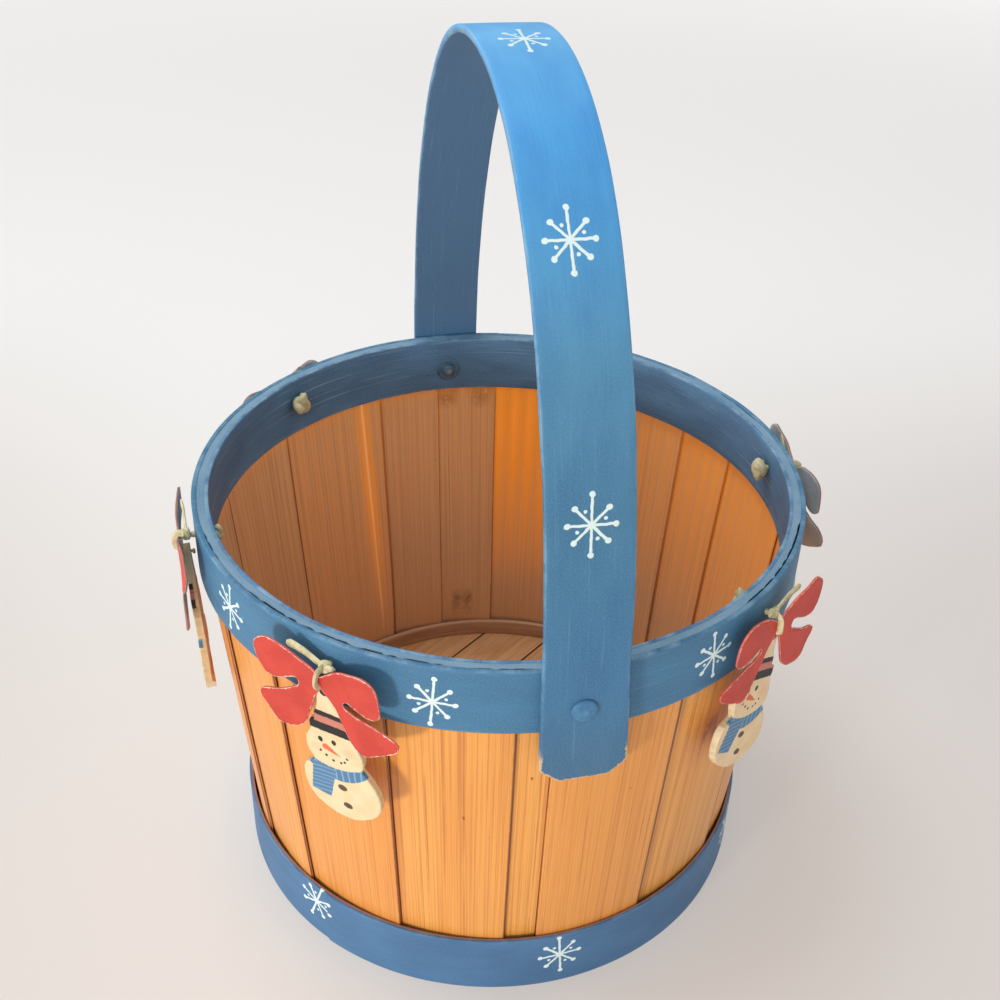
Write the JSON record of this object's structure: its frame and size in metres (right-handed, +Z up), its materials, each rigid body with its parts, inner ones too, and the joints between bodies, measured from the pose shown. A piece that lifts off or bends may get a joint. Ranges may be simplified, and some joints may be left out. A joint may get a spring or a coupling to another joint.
{
  "type": "wooden basket",
  "caption": "Round wooden splint basket with painted bands, a riveted swing handle and small hanging winter ornaments.",
  "frame": {"origin": "on the floor under the centre of the foot band", "axes": "+Z up, +X towards the near handle leg's rivet, which is also the handle's pivot axis, +Y to the left-hand side seen from +X"},
  "size_m": [0.265, 0.2718, 0.3662],
  "materials": {
    "blue_paint": "blue painted wood splint, satin, fine grain showing",
    "honey_stain": "honey-orange stained and lightly varnished wood splint",
    "bare_wood": "unpainted tan wood, matt",
    "rivet_blue": "steel painted over with the band's blue, rust on the inside tip",
    "bow_red": "coral red painted sheet, chipped pale at the edges, grey back",
    "cream_paint": "cream painted wood with painted face, hat and scarf",
    "twine_straw": "dry pale straw twine"
  },
  "bodies": {
    "basket": {"outer_top_band": "blue_paint", "inner_top_band": "blue_paint", "foot_band": "blue_paint", "inner_hoop": "bare_wood", "stave_01": "honey_stain", "stave_02": "honey_stain", "stave_03": "honey_stain", "stave_04": "honey_stain", "stave_05": "honey_stain", "stave_06": "honey_stain", "stave_07": "honey_stain", "stave_08": "honey_stain", "stave_09": "honey_stain", "stave_10": "honey_stain", "stave_11": "honey_stain", "stave_12": "honey_stain", "stave_13": "honey_stain", "stave_14": "honey_stain", "stave_15": "honey_stain", "stave_16": "honey_stain", "stave_17": "honey_stain", "stave_18": "honey_stain", "bottom_board_1": "bare_wood", "bottom_board_2": "bare_wood", "bottom_board_3": "bare_wood", "bottom_board_4": "bare_wood", "bottom_board_5": "bare_wood", "bottom_board_6": "bare_wood", "bottom_board_7": "bare_wood", "near_rivet": "rivet_blue", "far_rivet": "rivet_blue", "near_washer": "rivet_blue", "far_washer": "rivet_blue", "ornament_1_bow": "bow_red", "ornament_1_twine": "twine_straw", "ornament_2_bow": "bow_red", "ornament_2_twine": "twine_straw", "ornament_3_bow": "bow_red", "ornament_3_twine": "twine_straw", "ornament_4_bow": "bow_red", "ornament_4_twine": "twine_straw", "ornament_5_bow": "bow_red", "ornament_5_twine": "twine_straw", "ornament_6_bow": "bow_red", "ornament_6_twine": "twine_straw"},
    "handle": {"handle": "blue_paint"},
    "figure_1": {"ornament_1_figure": "cream_paint"},
    "figure_2": {"ornament_2_figure": "cream_paint"},
    "figure_3": {"ornament_3_figure": "cream_paint"},
    "figure_4": {"ornament_4_figure": "cream_paint"},
    "figure_5": {"ornament_5_figure": "cream_paint"},
    "figure_6": {"ornament_6_figure": "cream_paint"}
  },
  "joints": [
    {"name": "handle_swing", "type": "hinge", "parent": "basket", "child": "handle", "pos_m": [0, 0, 0.1707], "axis": [1, 0, 0], "range_deg": [-70, 70]},
    {"name": "figure_1_sway", "type": "hinge", "parent": "basket", "child": "figure_1", "pos_m": [0.10213, 0.08198, 0.1689], "axis": [0.8572, 0.515, 0], "range_deg": [-40, 40]},
    {"name": "figure_2_sway", "type": "hinge", "parent": "basket", "child": "figure_2", "pos_m": [0.09887, -0.08594, 0.1689], "axis": [0.7547, -0.6561, 0], "range_deg": [-40, 40]},
    {"name": "figure_3_sway", "type": "hinge", "parent": "basket", "child": "figure_3", "pos_m": [0.00457, 0.13092, 0.1689], "axis": [0.0349, 0.9994, 0], "range_deg": [-40, 40]},
    {"name": "figure_4_sway", "type": "hinge", "parent": "basket", "child": "figure_4", "pos_m": [0.00893, -0.13069, 0.1689], "axis": [0.0175, -0.9998, 0], "range_deg": [-40, 40]},
    {"name": "figure_5_sway", "type": "hinge", "parent": "basket", "child": "figure_5", "pos_m": [-0.09961, 0.08508, 0.1689], "axis": [-0.7604, 0.6494, 0], "range_deg": [-40, 40]},
    {"name": "figure_6_sway", "type": "hinge", "parent": "basket", "child": "figure_6", "pos_m": [-0.09961, -0.08508, 0.1689], "axis": [-0.7604, -0.6494, 0], "range_deg": [-40, 40]}
  ]
}
